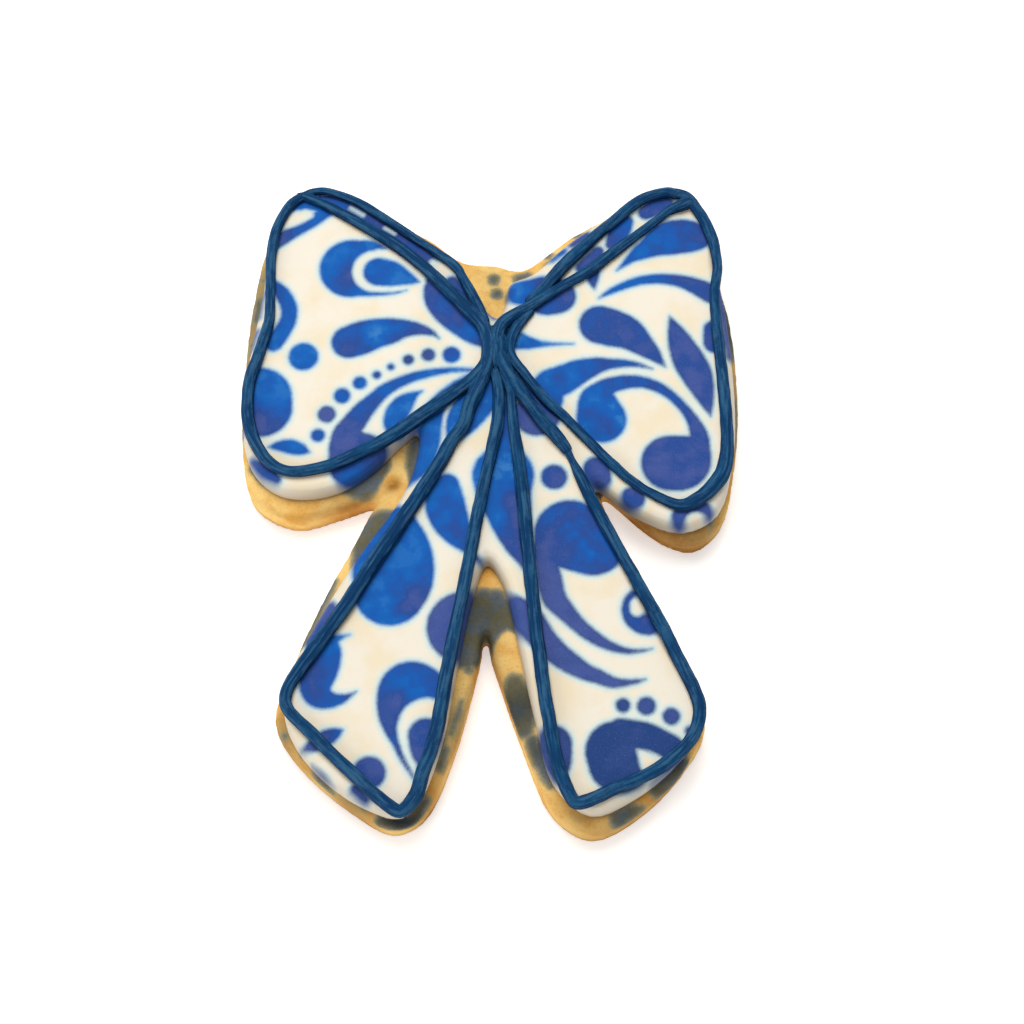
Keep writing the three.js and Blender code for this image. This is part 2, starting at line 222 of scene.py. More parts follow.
# The stencil. A stroke is its blue at the start and at the end (0 sky, 0.2 azure, 0.5 royal,
# 0.8 violet, 1 slate) and the points it runs through, each with the half width of the stroke there.
SPRAYED = {
    # left loop
    "corner_band": (0.6, 0.1, [
        (-33.2, 40.7, 1.3), (-30.1, 42.7, 1.1), (-27.4, 44.6, 1.2), (-25.0, 46.1, 0.9),
        (-23.2, 46.8, 0.7)]),
    "corner_band_top": (0.3, 0.2, [(-30.8, 46.3, 0.7), (-28.8, 47.6, 1.2), (-25.5, 46.8, 1.2)]),
    "strip": (0.6, 0.5, [
        (-27.0, 48.4, 0.7), (-24.9, 48.3, 1.1), (-21.5, 46.7, 1.1), (-13.2, 41.0, 1.1), (-9.3, 37.7, 1.1)]),
    "paisley": (0.24, 0.24, [
        (-16.1, 39.8, 0.2), (-18.2, 40.1, 0.9), (-20.0, 38.9, 2.2), (-21.8, 36.2, 4.4), (-20.0, 33.7, 2.2),
        (-17.0, 32.6, 1.0), (-14.5, 32.3, 0.4), (-12.8, 32.6, 0.1)]),
    "fold_leaf": (0.55, 0.45, [
        (-8.9, 33.9, 1.1), (-7.9, 31.6, 2.3), (-6.4, 29.7, 2.8), (-4.0, 27.2, 2.5), (-2.1, 25.3, 1.9),
        (-0.2, 23.5, 0.7)]),
    "fold_strip": (0.6, 0.6, [(-5.8, 33.9, 1.1), (-4.4, 32.0, 1.1), (-2.8, 29.9, 1.1)]),
    "comma_drop": (0.5, 0.6, [
        (-21.3, 23.9, 2.7), (-19.4, 24.6, 2.8), (-17.4, 25.3, 2.5), (-15.3, 25.7, 2.2), (-13.3, 26.1, 1.6),
        (-11.2, 26.1, 1.1), (-9.5, 25.7, 0.7), (-8.5, 25.2, 0.4), (-7.7, 24.5, 0.1)]),
    "edge_crescent": (0.32, 0.22, [
        (-33.1, 33.6, 0.8), (-31.7, 32.0, 1.2), (-30.6, 29.7, 1.3), (-30.6, 27.7, 1.3), (-31.5, 25.6, 1.4),
        (-32.7, 23.8, 1.5)]),
    "edge_blob": (0.22, 0.26, [(-34.5, 14.7, 5.0), (-34.1, 13.1, 4.7)]),
    "edge_leaf": (0.25, 0.25, [
        (-32.8, 6.8, 0.1), (-31.3, 7.0, 0.8), (-29.6, 6.9, 1.2), (-28.1, 6.5, 1.0), (-26.6, 6.0, 0.1)]),
    "side_patch": (0.58, 0.58, [(-35.2, 4.6, 0.7), (-33.3, 3.1, 1.2), (-31.4, 1.7, 0.8)]),
    "scroll_head": (0.55, 0.55, [(-19.2, 4.5, 4.7)]),
    "scroll_tail": (0.7, 0.1, [
        (-20.6, 6.6, 3.3), (-21.3, 8.8, 2.1), (-20.2, 10.7, 1.8), (-19.0, 12.5, 1.6), (-17.5, 14.2, 1.3),
        (-15.7, 16.0, 1.1), (-13.3, 17.4, 0.9), (-10.7, 18.4, 0.8), (-5.7, 19.3, 0.5), (-0.3, 19.1, 0.3)]),
    "scroll_leaf": (0.19, 0.24, [
        (-10.1, 15.9, 0.1), (-11.6, 15.0, 0.8), (-13.0, 13.6, 1.6), (-13.9, 12.1, 1.8), (-14.2, 10.5, 1.6),
        (-13.8, 9.2, 1.0)]),
    "under_stroke": (0.18, 0.3, [
        (-2.1, 18.7, 0.6), (-5.3, 16.4, 1.0), (-7.8, 13.6, 1.4), (-8.9, 10.9, 1.9), (-9.8, 7.8, 2.5),
        (-10.4, 5.2, 2.3), (-11.2, 2.9, 1.5), (-11.9, 1.2, 0.5)]),
    "crossing_leaf": (0.2, 0.17, [
        (-0.3, 17.7, 1.3), (-1.4, 14.8, 2.6), (-3.0, 12.7, 2.8), (-4.4, 10.5, 2.2), (-5.4, 8.8, 1.1)]),
    # right loop
    "v_blob": (0.2, 0.6, [(4.2, 32.2, 2.1), (6.5, 32.2, 2.5), (8.3, 31.7, 3.3), (10.1, 31.6, 3.0)]),
    "strip_end": (0.6, 0.6, [(24.0, 45.9, 1.3), (25.9, 47.0, 1.5), (27.4, 47.7, 1.0)]),
    "strip_middle": (0.5, 0.4, [(18.4, 40.3, 0.8), (19.8, 42.5, 1.7), (20.9, 44.3, 1.2)]),
    "strip_start": (0.6, 0.6, [(13.9, 36.4, 1.0), (15.5, 37.7, 1.3), (16.5, 39.1, 1.0)]),
    "strip_point": (0.6, 0.6, [(15.5, 37.1, 1.4), (15.6, 35.1, 1.1), (15.7, 33.7, 0.6), (15.9, 32.7, 0.1)]),
    "wedge": (0.16, 0.16, [(3.4, 24.4, 1.7), (5.7, 23.8, 1.1), (8.2, 23.6, 0.5), (12.6, 23.6, 0.1)]),
    "big_drop": (0.55, 0.55, [
        (16.6, 26.8, 3.2), (18.6, 26.2, 3.1), (20.7, 25.4, 2.7), (22.8, 23.6, 1.9), (24.5, 22.0, 1.2),
        (26.4, 19.8, 0.1)]),
    "swirl": (0.55, 0.12, [
        (24.4, 19.5, 0.1), (22.5, 20.1, 0.4), (20.1, 20.4, 0.7), (18.2, 20.3, 0.9), (16.4, 20.1, 1.3),
        (14.8, 19.6, 1.7), (13.5, 19.1, 2.0), (12.0, 18.3, 2.3), (10.5, 17.5, 2.5), (9.0, 16.9, 2.5),
        (8.2, 14.6, 2.8)]),
    "swirl_end": (0.5, 0.75, [(8.0, 15.6, 2.8), (7.0, 12.2, 3.6)]),
    "petal": (0.2, 0.54, [
        (19.3, 35.9, 0.1), (21.8, 38.2, 0.9), (23.1, 39.1, 1.4), (24.5, 39.9, 1.8), (25.9, 40.8, 2.4),
        (27.3, 41.4, 2.9), (28.7, 41.7, 3.0), (30.1, 41.8, 2.9), (31.2, 41.7, 2.5), (32.1, 41.3, 1.8)]),
    "right_crescent": (0.12, 0.65, [
        (16.5, 31.2, 0.1), (18.2, 32.3, 0.5), (20.5, 33.4, 0.7), (22.9, 34.2, 0.8), (25.9, 34.5, 0.9),
        (29.0, 34.1, 1.1), (31.2, 33.3, 1.4), (33.5, 32.1, 1.7)]),
    "right_leaf": (0.6, 0.65, [
        (27.2, 28.2, 0.1), (28.2, 25.3, 1.4), (29.0, 23.0, 2.1), (30.0, 20.7, 2.5), (31.0, 18.6, 2.4),
        (31.8, 16.2, 1.8), (32.4, 13.9, 1.0), (32.9, 11.8, 0.1)]),
    "right_edge_blob": (0.5, 0.5, [(33.9, 25.9, 1.7), (34.0, 23.9, 1.9)]),
    "comma_head": (0.14, 0.16, [(16.6, 11.3, 3.8), (16.0, 14.1, 2.8), (16.0, 14.9, 2.2)]),
    "comma_arm": (0.4, 0.62, [
        (16.0, 14.9, 2.2), (17.6, 16.5, 1.5), (20.2, 17.3, 1.2), (22.8, 17.3, 1.0), (25.3, 16.4, 0.9),
        (27.0, 15.2, 0.8), (28.6, 13.5, 0.8), (29.8, 11.8, 0.9), (30.7, 9.9, 1.2), (31.1, 8.2, 1.5),
        (31.1, 6.9, 1.6)]),
    "comma_disc": (0.64, 0.64, [(26.7, 4.3, 4.4), (28.3, 4.4, 4.3), (29.9, 5.8, 2.9)]),
    "notch_patch": (0.6, 0.7, [(15.8, 3.3, 2.1), (16.1, 1.8, 1.9)]),
    "side_dot": (0.6, 0.6, [(21.0, -1.3, 1.9)]),
    "side_ring": (0.62, 0.62, [(29.9, -4.7, 3.4)]),
    # left tail
    "tail_leaf": (0.22, 0.6, [
        (-6.3, 0.8, 1.9), (-6.6, -1.5, 2.9), (-6.0, -4.0, 2.9), (-4.9, -6.2, 2.3), (-3.5, -8.2, 1.4),
        (-2.7, -9.6, 0.5), (-1.3, -11.0, 0.5), (-0.7, -11.6, 0.1)]),
    "egg": (0.24, 0.22, [
        (-15.1, -7.1, 5.2), (-14.2, -10.4, 6.0), (-13.9, -13.4, 5.9), (-14.3, -15.5, 5.3)]),
    "tail_scroll": (0.2, 0.45, [
        (-22.6, -23.0, 1.0), (-23.3, -24.9, 2.3), (-23.9, -27.0, 2.6), (-24.6, -29.4, 2.4),
        (-24.2, -30.9, 2.0), (-22.6, -31.7, 1.3), (-21.0, -31.6, 0.8), (-19.8, -31.1, 0.4),
        (-18.8, -30.5, 0.1)]),
    "tail_spur": (0.2, 0.2, [
        (-24.5, -22.9, 0.9), (-22.0, -22.7, 0.7), (-20.8, -22.3, 0.3), (-19.9, -22.1, 0.1)]),
    "tail_wedge": (1.0, 0.2, [
        (-26.5, -39.1, 0.1), (-24.8, -38.4, 0.9), (-23.1, -37.4, 1.3), (-21.7, -36.6, 0.9),
        (-20.6, -36.1, 0.2)]),
    "tail_edge": (1.0, 1.0, [(-24.8, -41.3, 0.3), (-23.3, -42.9, 0.7), (-22.0, -44.3, 0.3)]),
    "tail_dot_wall": (1.0, 1.0, [(-18.6, -44.6, 0.8), (-17.2, -46.0, 0.8)]),
    "tail_comma": (0.4, 0.56, [
        (-7.1, -30.1, 1.7), (-9.0, -29.4, 2.6), (-11.1, -29.3, 3.3), (-12.4, -30.0, 3.2),
        (-13.7, -32.1, 2.2), (-14.0, -34.0, 1.6), (-13.6, -35.9, 1.2), (-12.9, -37.8, 0.8),
        (-12.1, -40.0, 0.5), (-10.4, -43.0, 0.2)]),
    # right tail
    "crescent": (0.78, 0.86, [
        (-3.6, -21.0, 5.4), (-0.5, -18.7, 3.8), (2.6, -18.2, 2.5), (5.2, -19.8, 2.5), (8.0, -23.0, 1.9),
        (9.8, -24.9, 1.8), (11.8, -26.4, 1.6), (13.8, -27.6, 1.3), (15.8, -28.4, 1.1), (17.5, -29.1, 0.9),
        (19.2, -29.2, 0.6), (20.9, -29.0, 0.4), (22.3, -28.7, 0.1)]),
    "centre_drop": (0.16, 0.85, [
        (2.0, 2.4, 4.6), (2.1, -0.1, 4.1), (2.7, -2.7, 3.5), (3.4, -5.7, 2.8), (4.2, -8.6, 1.9),
        (4.8, -10.6, 1.0), (5.0, -12.2, 0.2)]),
    "disc": (0.44, 0.44, [(11.8, -6.9, 5.4), (15.0, -8.0, 5.2)]),
    "disc_tail": (0.8, 0.86, [
        (10.6, -7.7, 4.1), (8.5, -9.6, 2.2), (8.4, -11.2, 1.8), (8.8, -14.2, 1.9), (9.4, -16.6, 1.8),
        (10.9, -18.5, 1.5), (12.6, -20.4, 1.2), (14.4, -22.0, 1.1), (16.2, -23.2, 0.9), (17.9, -24.0, 0.7),
        (19.8, -24.5, 0.5), (21.5, -24.5, 0.3), (23.3, -24.2, 0.1)]),
    "edge_ring": (0.58, 0.58, [(22.8, -18.4, 3.8)]),
    "curl": (1.0, 1.0, [(18.0, -39.2, 4.5), (18.4, -40.7, 4.5)]),
    "left_blob": (0.93, 0.93, [(9.0, -38.1, 2.8), (9.4, -40.3, 2.3), (9.7, -42.4, 1.4)]),
    "edge_speck": (0.95, 0.95, [(28.4, -36.2, 0.8)]),
    "v_tip": (0.6, 0.6, [(-1.2, 31.0, 0.5), (-0.1, 29.2, 0.7), (0.6, 28.2, 0.6)]),
    "strand_gap": (0.75, 0.75, [(4.5, 18.6, 0.5), (6.1, 16.0, 0.9), (8.4, 13.0, 1.2)]),
    "strand_gap_low": (0.5, 0.3, [(2.2, 17.0, 0.5), (2.3, 12.0, 0.9), (2.1, 7.0, 1.2)]),
    # walls of the icing
    "left_wall_high": (0.9, 0.9, [(-34.8, 32.4, 0.6), (-35.3, 28.4, 0.6)]),
    "left_wall_low": (0.35, 0.35, [(-35.5, 25.8, 0.6), (-36.2, 23.2, 0.6)]),
    "dip_wall_low": (0.1, 0.1, [(9.3, 38.1, 0.9), (11.0, 39.4, 0.9)]),
    "dip_wall_high": (0.9, 0.9, [(12.6, 40.6, 0.9), (14.6, 42.2, 0.9)]),
    "right_wall": (0.98, 0.95, [
        (35.1, 34.6, 1.0), (35.7, 29.4, 1.1), (36.1, 25.5, 1.1), (36.3, 21.8, 0.9)]),
    "tail_wall": (0.85, 0.62, [(-23.0, -17.9, 1.1), (-24.2, -20.0, 1.3), (-25.7, -22.8, 1.3)]),
}

# Round dots: tone, x, y and radius
DOTS = [
    (0.35, -5.8, 21.8, 1.4), (0.9, -9.3, 21.8, 1.1), (0.95, -12.3, 21.0, 0.9), (0.5, -14.9, 19.8, 0.6),
    (0.4, -17.0, 18.5, 0.7), (0.3, -19.5, 17.2, 1.1), (0.35, -22.1, 15.1, 1.3), (0.85, -24.3, 12.1, 1.4),
    (0.3, -25.5, 8.7, 1.1), (0.22, -28.1, 21.5, 2.3), (0.55, 9.5, 2.1, 2.0), (0.6, -16.7, -42.2, 2.4),
    (0.92, 19.0, -32.5, 1.1), (0.9, 22.3, -32.6, 1.4), (0.9, 25.8, -34.1, 1.3),
]

# Places inside the strokes that the stencil kept white
KEPT_WHITE = {
    "corner_oval": [(-32.1, 43.5, 0.6), (-30.1, 44.9, 1.2), (-28.1, 45.5, 0.7)],
    "strip_dash_high": [(-21.6, 46.6, 0.3), (-19.7, 45.4, 0.3)],
    "strip_dash_middle": [(-16.2, 43.2, 0.3), (-14.8, 42.3, 0.3)],
    "strip_dash_low": [(-8.8, 37.2, 0.6), (-6.2, 35.5, 0.6)],
    "paisley_ring": [(-17.6, 35.8, 3.5), (-15.2, 35.4, 3.1), (-13.0, 34.8, 2.2), (-11.0, 34.1, 1.1)],
    "side_ring_hole": [(30.2, -4.9, 1.5)],
    "tail_comma_inside": [
        (-7.8, -32.8, 1.2), (-9.1, -32.9, 1.4), (-10.9, -33.7, 1.2), (-11.7, -35.3, 1.1),
        (-12.0, -36.6, 0.8), (-11.7, -38.4, 0.6), (-11.1, -40.1, 0.5), (-10.4, -41.6, 0.4)],
    "edge_ring_hole": [(21.6, -17.7, 1.3), (21.3, -18.3, 1.0)],
    "curl_notch": [(20.9, -38.9, 0.1), (21.9, -40.0, 0.9), (22.6, -40.9, 1.4)],
}

# Strokes that lie inside a white place
SPRAYED_INSIDE = {
    "paisley_drop": (0.22, 0.22, [
        (-17.1, 35.7, 2.4), (-15.3, 35.4, 2.2), (-13.6, 34.9, 1.5), (-12.2, 34.4, 0.9),
        (-10.8, 34.0, 0.1)]),
    "tail_comma_drop": (0.6, 0.65, [
        (-8.8, -36.9, 2.6), (-9.1, -38.9, 1.9), (-9.2, -40.6, 1.0), (-9.6, -41.9, 0.3)]),
    "curl_arm": (1.0, 1.0, [
        (18.7, -36.6, 2.3), (22.1, -36.9, 2.0), (24.2, -37.8, 1.9), (26.0, -39.0, 1.9), (26.7, -41.0, 1.7),
        (25.4, -42.9, 1.5), (23.6, -44.1, 1.0)]),
}

# Spray that went past the icing and shows on the biscuit alone
BISCUIT_SPRAY = {
    "v_dot_high": [(0.5, 35.9, 1.0)],
    "v_dot_low": [(1.0, 33.3, 1.0)],
    "v_patch": [(4.3, 36.0, 0.9), (5.7, 36.6, 0.6)],
    "dip_low": [(8.8, 40.2, 0.8)],
    "dip_middle": [(13.4, 43.9, 0.9)],
    "dip_high": [(17.8, 46.4, 0.7)],
    "loop_rim_high": [(-35.2, 35.7, 0.4)],
    "loop_rim_middle": [(-35.6, 32.2, 0.6), (-35.9, 29.0, 0.5)],
    "loop_rim_low": [(-36.5, 24.8, 0.4)],
    "right_rim_high": [(36.3, 33.0, 0.8), (37.0, 27.0, 0.9), (37.2, 22.6, 0.7)],
    "right_rim_low": [(37.0, 15.7, 0.4), (36.9, 9.2, 0.3)],
    "loop_foot": [(32.2, -5.3, 0.8)],
    "tail_rim": [(-22.8, -13.0, 0.7), (-24.4, -16.4, 0.9), (-25.8, -19.4, 0.8), (-27.0, -22.4, 0.7)],
    "tail_rim_low": [(-29.1, -36.2, 0.6)],
    "left_tail_foot": [(-15.2, -48.3, 0.8), (-12.7, -48.6, 1.0), (-10.4, -48.0, 0.9), (-8.8, -45.4, 0.7)],
    "left_tail_high": [(-3.3, -24.3, 0.9), (-3.0, -26.2, 0.8)],
    "left_tail_low": [(-6.2, -38.2, 0.6), (-7.0, -40.8, 0.7)],
    "gap_top": [(-0.8, -15.8, 1.8), (-0.4, -19.0, 1.8), (-0.4, -21.6, 1.2)],
    "gap_top_right": [(0.9, -15.9, 1.7), (1.9, -17.6, 1.3)],
    "tail_foot": [(18.1, -48.2, 1.2), (20.2, -47.0, 1.0), (21.5, -46.5, 0.5)],
    "tail_corner": [(23.9, -43.9, 0.9), (25.5, -43.0, 0.8)],
    "tail_side": [(27.9, -39.9, 0.8)],
    "right_tail_inner": [(6.2, -37.1, 1.1), (6.9, -38.9, 1.1), (8.0, -41.7, 0.9), (8.7, -43.4, 0.5)],
    "gap_right": [(3.7, -28.6, 1.6), (4.3, -30.9, 2.2), (4.8, -33.3, 1.9), (5.2, -35.4, 1.2)],
    "gap_left": [(-3.9, -31.0, 0.2), (-4.6, -33.4, 0.5), (-5.3, -35.8, 0.4)],
}

# Places of the biscuit that the spray missed, where it fell thick, and where the dough is darker from
# browning and from painted shade on feet, rims and hollows: x, y, size and how much
SPRAY_MISSED = [
    (29.5, -8.0, 3.6, 3.0), (24.0, -5.5, 3.0, 3.0), (3.0, -23.3, 1.9, 2.6), (36.8, 19.8, 1.6, 2.0),
    (-14.3, 2.0, 2.0, 2.0), (0.0, -11.3, 1.6, 1.6), (0.8, 30.2, 1.3, 2.0),
]
SPRAY_DENSE = [
    (-0.4, -18.0, 3.0, 0.35), (4.6, -32.0, 3.0, 0.6), (-12.0, -48.5, 3.5, 0.9), (27.5, -40.0, 2.5, 0.5),
    (19.0, -47.5, 2.0, 0.3), (6.5, -38.5, 2.5, 0.4), (37.0, 28.0, 5.0, 0.6), (-36.0, 30.0, 4.0, 0.3),
]
# Browning, and painted shade on the feet and rims that face from the light, in the dent and at the gap's
# top
BROWNING_AND_SHADE = [
    (29.0, -6.5, 7.0, 0.75), (-14.0, 2.2, 1.0, 0.6), (-14.8, 1.5, 0.9, 0.5), (-20.0, 0.0, 4.5, 0.4),
    (-0.5, -22.5, 2.0, 0.5), (36.6, 12.0, 9.0, 0.85), (36.4, 32.0, 8.0, 0.85), (-36.4, 28.0, 8.0, 0.8),
    (-8.0, -46.0, 4.0, 0.3), (2.0, -27.0, 4.0, 0.25), (26.0, -42.5, 6.0, 0.5), (15.0, -49.0, 6.0, 0.4),
    (20.5, -47.5, 4.0, 0.2), (-8.5, -47.0, 3.0, 0.2), (-27.0, -41.0, 5.0, 0.4), (-30.0, -35.5, 4.0, 0.4),
    (-18.5, -47.5, 3.5, 0.6), (21.0, -4.0, 4.0, 0.6),
]

# Places of the biscuit with a thin mist of spray: x, y, size and how much
MISTED = [
    (-35.0, 37.0, 3.5, 0.6), (-36.6, 33.0, 4.0, 0.6), (-37.0, 27.0, 4.5, 0.65), (-37.4, 20.5, 3.0, 0.5),
    (37.4, 30.0, 6.0, 0.85), (37.8, 18.0, 4.0, 0.45), (37.2, 9.0, 4.0, 0.4), (-25.5, -18.0, 4.5, 0.6),
    (-30.0, -36.5, 2.8, 0.5), (-21.0, -46.0, 3.5, 0.6), (-5.4, -35.0, 5.0, 0.6), (31.5, -5.5, 3.5, 0.3),
]

# Patches where the blue turns: x, y, size and change of tone
BLOTS = [
    (-21.5, 35.2, 2.2, 0.35), (-17.6, 25.4, 2.6, -0.35), (-14.6, 25.6, 2.0, -0.15), (-34.0, 10.5, 3.2, 0.4),
    (-19.5, 0.8, 3.0, -0.4), (-9.6, -15.5, 2.6, 0.35), (-11.5, -18.0, 2.0, 0.3), (-26.0, -28.5, 2.6, 0.3),
    (11.4, -5.2, 0.6, -0.2), (12.5, -6.6, 0.7, -0.25), (13.7, -8.2, 0.8, -0.3), (14.8, -9.7, 0.8, -0.3),
    (17.0, 11.0, 1.6, 0.2), (14.6, 12.4, 1.2, 0.18), (10.2, 18.2, 1.2, 0.15), (-2.5, 25.6, 1.3, -0.35),
    (17.5, 9.0, 2.0, 0.2), (-12.8, -31.5, 1.2, 0.3), (-10.5, -28.8, 2.6, -0.2), (3.8, -1.8, 2.2, 0.24),
    (4.2, -5.2, 2.0, 0.15), (1.8, -4.8, 1.6, -0.3),
]

STROKE_STEP = 0.15
FAR = 3.0                   # distances from the stencil are not followed further
TONE_BLEND = 0.7
LEAST_SHARE = 1e-9          # of a tone, where no stroke is near

# Colours as the eye sees them, red, green and blue out of 255
CREAM = (253, 244, 226)
WARM_CREAM = (252, 236, 204)
# Painted shade on the icing's side wall
WALL_PAINTED_SHADE = (196, 184, 164)
# Painted contact shadow along the foot of the icing, where it meets the biscuit
ICING_FOOT_SHADOW = (140, 108, 72)
HALO = (194, 236, 247)
SKY = (56, 128, 202)
AZURE = (14, 102, 190)
DEEP_AZURE = (22, 92, 180)
ROYAL = (42, 78, 154)
VIOLET = (74, 92, 160)
SLATE_NAVY = (38, 70, 132)
PALE_SPECK = (150, 170, 214)
GOLDEN = (255, 214, 132)
BAKED = (238, 178, 88)
BROWN = (152, 100, 40)
TEAL_MIST = (152, 150, 122)
KHAKI = (152, 136, 98)
OLIVE_SLATE = (96, 94, 74)
SLATE = (84, 98, 110)
DARK_SLATE = (38, 44, 46)
WALL_BLUE = (62, 92, 150)
RIM_BLUE = (34, 66, 116)
TEAL_BLUE = (14, 76, 120)
DEEP_TEAL = (6, 58, 102)
# Painted shade on the flanks of the piped lines
SHADED_FLANK_TEAL = (4, 36, 74)
# Pale dust, and painted highlight on the ridges' crests
PALE_TEAL = (60, 104, 138)
FLOOR_WHITE = (252, 252, 252)
FLOOR_SHADE = (248, 248, 248)

# The blues by their tone
BLUES = [
    (0.0, SKY), (0.18, AZURE), (0.32, DEEP_AZURE), (0.52, ROYAL), (0.8, VIOLET), (1.0, SLATE_NAVY),
]


def linear(colour):
    """A colour as the renderer counts light."""
    shares = [c / 255 for c in colour]
    return tuple(c / 12.92 if c <= 0.04045 else ((c + 0.055) / 1.055) ** 2.4 for c in shares) + (1.0,)


def smooth_path(points, step):
    """Close points on the smooth curve through the given ones, with the numbers each one carries."""
    points = np.array(points, float)
    if len(points) == 1:
        return points
    p = np.concatenate([2 * points[:1] - points[1:2], points, 2 * points[-1:] - points[-2:-1]])
    gap = np.sqrt(np.linalg.norm(np.diff(p[:, :2], axis=0), axis=1))
    stretches = []
    for i in range(1, len(p) - 2):
        before, here, after = gap[i - 1:i + 2]
        last, start, end, following = p[i - 1:i + 3]
        leave = (start - last) / before - (end - last) / (before + here) + (end - start) / here
        arrive = (end - start) / here - (following - start) / (here + after) + (following - end) / after
        count = int(np.linalg.norm((end - start)[:2]) / step) + 1
        t = np.linspace(0, 1, count, endpoint=False)[:, None]
        stretches.append((2 * t**3 - 3 * t**2 + 1) * start + (t**3 - 2 * t**2 + t) * here * leave
                         + (3 * t**2 - 2 * t**3) * end + (t**3 - t**2) * here * arrive)
    return np.concatenate(stretches + [points[-1:]])


def stroke_distance(places, stroke):
    """How far each (x, y) place is outside a stroke, below zero inside, and the tone of the nearest
    paint."""
    path = smooth_path(stroke, STROKE_STEP)
    distance = np.full(len(places), FAR)
    tone = np.zeros(len(places))
    reach = FAR + path[:, 2].max()
    low, high = path[:, :2].min(0) - reach, path[:, :2].max(0) + reach
    near = np.flatnonzero(((places > low) & (places < high)).all(1))
    for x, y, half_width, blue in path:
        away = np.hypot(places[near, 0] - x, places[near, 1] - y) - half_width
        closer = near[away < distance[near]]
        distance[near] = np.minimum(distance[near], away)
        tone[closer] = blue
    return distance, tone


def with_tone(first, last, points):
    """The points of a stroke with the blue at each."""
    blues = np.linspace(first, last, len(points))
    return [(x, y, half_width, blue) for (x, y, half_width), blue in zip(points, blues)]


def patches(places, spots):
    """The sum of soft round spots, each an x, y, size and amount, at (x, y) places."""
    return sum(amount * np.exp(-((places[:, 0] - x) ** 2 + (places[:, 1] - y) ** 2) / size**2)
               for x, y, size, amount in spots)


def stencil(places):
    """The distance to the edge of the sprayed pattern and the tone of its blue, at (x, y) places."""
    strokes = [with_tone(*stroke) for stroke in SPRAYED.values()]
    strokes += [[(x, y, radius, blue)] for blue, x, y, radius in DOTS]
    edge = np.full(len(places), FAR)
    weight = np.full(len(places), LEAST_SHARE)
    blue = np.zeros(len(places))

    def spray(stroke):
        nonlocal edge, weight, blue
        distance, tone = stroke_distance(places, stroke)
        share = np.exp(-distance / TONE_BLEND) * (distance < FAR)
        edge = np.minimum(edge, distance)
        weight = weight + share
        blue = blue + share * tone

    for stroke in strokes:
        spray(stroke)
    for hole in KEPT_WHITE.values():
        distance, _ = stroke_distance(places, with_tone(0, 0, hole))
        edge = np.maximum(edge, -distance)
    for stroke in SPRAYED_INSIDE.values():
        spray(with_tone(*stroke))
    return edge, np.clip(blue / weight + patches(places, BLOTS), 0, 1)


def waves(places, size, seed):
    """Smooth random heights between about -1 and 1 with the given feature size."""
    shift = Vector([seed * step for step in SEED_SHIFT])
    return np.array([noise.noise(Vector(place) / size + shift) for place in places])


def swell(places, wave, more=0):
    """The heights of a wave, given as height, length and seed, with the seed moved on by more."""
    height, length, seed = wave
    return height * waves(places, length, seed + more)


def points_of(mesh):
    flat = np.empty(len(mesh.vertices) * 3, np.float32)
    mesh.vertices.foreach_get("co", flat)
    return flat.reshape(-1, 3).astype(float) / MM


def normals_of(mesh):
    flat = np.empty(len(mesh.vertices) * 3, np.float32)
    mesh.vertex_normals.foreach_get("vector", flat)
    return flat.reshape(-1, 3).astype(float)


def set_points(mesh, points):
    mesh.vertices.foreach_set("co", (points * MM).astype(np.float32).ravel())
    mesh.update()


def store(mesh, name, values):
    """Keeps one number for each point of the mesh, for its material to read."""
    mesh.attributes.new(name, "FLOAT", "POINT").data.foreach_set("value", values.astype(np.float32))


def show(name, mesh, finish, node):
    """One finished piece that stands for its solid."""
    mesh.materials.clear()
    mesh.materials.append(finish)
    mesh.polygons.foreach_set("use_smooth", [True] * len(mesh.polygons))
    piece = bpy.data.objects.new(name, mesh)
    bpy.context.scene.collection.objects.link(piece)
    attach(piece, "root")
    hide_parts(node)


def applied(name, mesh, *modifiers):
    """The mesh as it is after the modifiers, each a type with its settings."""
    carrier = bpy.data.objects.new(name, mesh)
    bpy.context.scene.collection.objects.link(carrier)
    for kind, settings in modifiers:
        modifier = carrier.modifiers.new(kind, kind)
        for key, value in settings.items():
            setattr(modifier, key, value)
    bpy.context.view_layer.update()
    result = bpy.data.meshes.new_from_object(carrier.evaluated_get(bpy.context.evaluated_depsgraph_get()))
    bpy.data.objects.remove(carrier)
    result.name = name
    return result


def fine_copy(name, node, grain, smoothing):
    """The solid's form as an even fine mesh with its facets smoothed away."""
    return applied(name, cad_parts[node].data.copy(),
                   ("REMESH", {"mode": "VOXEL", "voxel_size": grain * MM}),
                   ("SMOOTH", {"factor": SMOOTH_OUT, "iterations": smoothing}),
                   ("SMOOTH", {"factor": SMOOTH_BACK, "iterations": smoothing}))


def close_plainly(mesh, hidden):
    """Takes away the faces whose centres the test calls hidden, and closes the gap with plain faces."""
    work = bmesh.new()
    work.from_mesh(mesh)
    centres = np.array([face.calc_center_median() for face in work.faces]) / MM
    ways = np.array([face.normal for face in work.faces])
    gone = [face for face, out in zip(work.faces[:], hidden(centres, ways)) if out]
    bmesh.ops.delete(work, geom=gone, context="FACES")
    loose = [vertex for vertex in work.verts if not vertex.link_faces]
    bmesh.ops.delete(work, geom=loose, context="VERTS")
    rim = [edge for edge in work.edges if edge.is_boundary]
    bmesh.ops.triangle_fill(work, edges=rim, use_beauty=True)
    bmesh.ops.recalc_face_normals(work, faces=work.faces[:])
    work.to_mesh(mesh)
    work.free()


